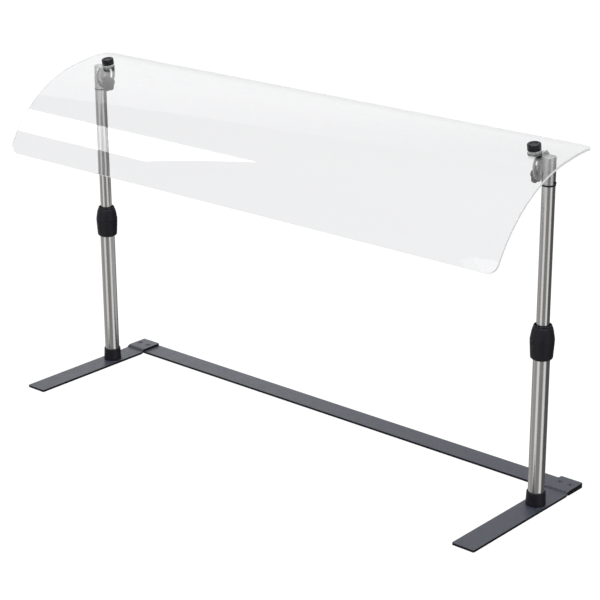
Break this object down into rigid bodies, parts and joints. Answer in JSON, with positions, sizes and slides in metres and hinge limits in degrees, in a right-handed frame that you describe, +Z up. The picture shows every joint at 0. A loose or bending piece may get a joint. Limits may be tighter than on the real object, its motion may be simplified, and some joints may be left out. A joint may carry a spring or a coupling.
{
  "type": "sneeze guard",
  "caption": "Curved clear acrylic food shield held on two telescoping steel posts with twist locks and tilting heads, on a flat black bar base.",
  "frame": {"origin": "centre of the base's footprint, on the table", "axes": "+X along the crossbar, to the right as the customer faces it; -Y towards the customer, +Y to the rear; +Z up"},
  "size_m": [1.264, 0.36, 0.7116],
  "materials": {
    "powder_coat": "fine-textured black powder coat",
    "stainless_tube": "lengthwise brushed stainless steel",
    "head_steel": "satin stainless steel",
    "plated_fastener": "zinc plated",
    "moulded_black": "matte moulded nylon",
    "knob_black": "gloss moulded",
    "natural_nylon": "natural translucent nylon",
    "rubber_pad": "thin pale rubber",
    "clear_acrylic": "clear, polished edges"
  },
  "bodies": {
    "base": {"crossbar": "powder_coat", "left_leg": "powder_coat", "left_base_screw_1": "powder_coat", "left_base_screw_2": "powder_coat", "left_base_socket": "moulded_black", "left_foot_plug": "plated_fastener", "left_foot_screw": "plated_fastener", "left_lower_tube": "stainless_tube", "left_lock_body": "moulded_black", "left_lock_collet": "natural_nylon", "right_leg": "powder_coat", "right_base_screw_1": "powder_coat", "right_base_screw_2": "powder_coat", "right_base_socket": "moulded_black", "right_foot_plug": "plated_fastener", "right_foot_screw": "plated_fastener", "right_lower_tube": "stainless_tube", "right_lock_body": "moulded_black", "right_lock_collet": "natural_nylon"},
    "left_post": {"left_upper_tube": "stainless_tube", "left_glide_bush": "natural_nylon", "left_head_plug": "moulded_black", "left_head_sleeve": "head_steel", "left_head_screw": "moulded_black", "left_saddle": "head_steel", "left_pivot_pin": "head_steel", "left_clamp_washer": "plated_fastener"},
    "right_post": {"right_upper_tube": "stainless_tube", "right_glide_bush": "natural_nylon", "right_head_plug": "moulded_black", "right_head_sleeve": "head_steel", "right_head_screw": "moulded_black", "right_saddle": "head_steel", "right_pivot_pin": "head_steel", "right_clamp_washer": "plated_fastener"},
    "panel": {"guard_panel": "clear_acrylic", "left_tilt_plate": "head_steel", "left_flange_pad": "rubber_pad", "left_panel_washer": "natural_nylon", "right_tilt_plate": "head_steel", "right_flange_pad": "rubber_pad", "right_panel_washer": "natural_nylon"},
    "left_twist_ring": {"left_twist_ring": "moulded_black"},
    "right_twist_ring": {"right_twist_ring": "moulded_black"},
    "left_clamp_knob": {"left_clamp_knob": "knob_black"},
    "right_clamp_knob": {"right_clamp_knob": "knob_black"},
    "left_panel_knob": {"left_panel_knob": "knob_black"},
    "right_panel_knob": {"right_panel_knob": "knob_black"}
  },
  "joints": [
    {"name": "left_post_slide", "type": "slide", "parent": "base", "child": "left_post", "axis": [0, 0, 1], "range_m": [-0.235, 0.04]},
    {"name": "right_post_slide", "type": "slide", "parent": "base", "child": "right_post", "axis": [0, 0, 1], "range_m": [-0.235, 0.04]},
    {"name": "panel_tilt", "type": "hinge", "parent": "left_post", "child": "panel", "pos_m": [-0.5845, 0.054, 0.6685], "axis": [1, 0, 0], "range_deg": [-90, 50]},
    {"name": "left_twist_ring_turn", "type": "hinge", "parent": "base", "child": "left_twist_ring", "pos_m": [-0.5845, 0.054, 0.35], "axis": [0, 0, 1], "range_deg": [0, 90]},
    {"name": "left_clamp_knob_turn", "type": "hinge", "parent": "left_post", "child": "left_clamp_knob", "pos_m": [-0.5575, 0.054, 0.6505], "axis": [1, 0, 0], "range_deg": [0, 270]},
    {"name": "left_panel_knob_turn", "type": "hinge", "parent": "panel", "child": "left_panel_knob", "pos_m": [-0.5541, 0.054, 0.6685], "axis": [0, -0.1564, 0.9877], "range_deg": [0, 270]},
    {"name": "right_twist_ring_turn", "type": "hinge", "parent": "base", "child": "right_twist_ring", "pos_m": [0.5845, 0.054, 0.35], "axis": [0, 0, 1], "range_deg": [0, 90]},
    {"name": "right_clamp_knob_turn", "type": "hinge", "parent": "right_post", "child": "right_clamp_knob", "pos_m": [0.5575, 0.054, 0.6505], "axis": [-1, 0, 0], "range_deg": [0, 270]},
    {"name": "right_panel_knob_turn", "type": "hinge", "parent": "panel", "child": "right_panel_knob", "pos_m": [0.5541, 0.054, 0.6685], "axis": [0, -0.1564, 0.9877], "range_deg": [0, 270]}
  ],
  "couplings": [
    {"joint": "right_post_slide", "follows": "left_post_slide", "ratio": 1}
  ]
}
